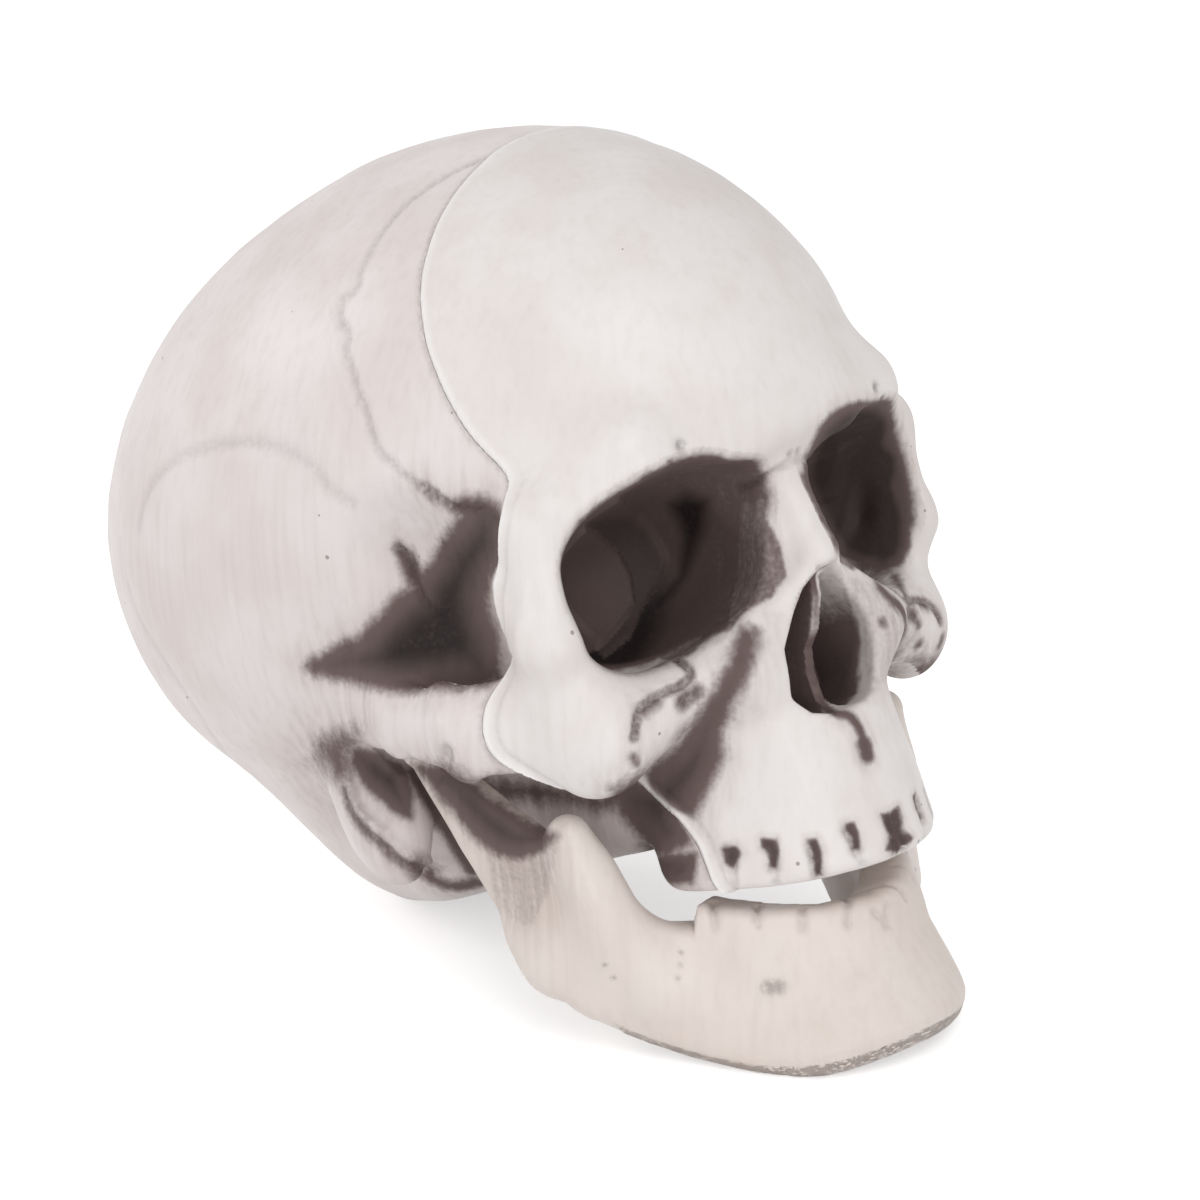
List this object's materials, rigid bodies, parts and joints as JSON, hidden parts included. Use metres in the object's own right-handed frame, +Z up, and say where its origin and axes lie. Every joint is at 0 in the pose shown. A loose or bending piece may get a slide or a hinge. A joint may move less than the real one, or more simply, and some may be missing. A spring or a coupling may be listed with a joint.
{
  "type": "skull decoration",
  "caption": "Life-size hollow plastic skull decoration with deep eye sockets, a nose opening, rows of teeth and a hinged lower jaw, resting on its chin and the back of its head.",
  "frame": {"origin": "on the ground, under the middle of the bounding box of the skull at rest", "axes": "+Z up, -Y the way the face looks, +X towards the skull's own left"},
  "size_m": [0.147, 0.2296, 0.1845],
  "materials": {
    "head_plastic": "satin bone-white plastic with dark antique paint brushed into the hollows",
    "jaw_plastic": "satin bone-cream plastic with a little dark antique paint",
    "pin_steel": "plain steel",
    "washer_rubber": "matt black"
  },
  "bodies": {
    "head": {"front_shell": "head_plastic", "rear_shell": "head_plastic", "hinge_pin_left": "pin_steel", "hinge_pin_right": "pin_steel", "friction_washer_left": "washer_rubber", "friction_washer_right": "washer_rubber", "push_nut_left": "pin_steel", "push_nut_right": "pin_steel"},
    "jaw": {"jaw_shell": "jaw_plastic", "jaw_base_strip": "jaw_plastic"}
  },
  "joints": [
    {"name": "jaw_hinge", "type": "hinge", "parent": "head", "child": "jaw", "pos_m": [0, -0.01602, 0.06363], "axis": [1, 0, 0], "range_deg": [-2.5, 20]}
  ]
}
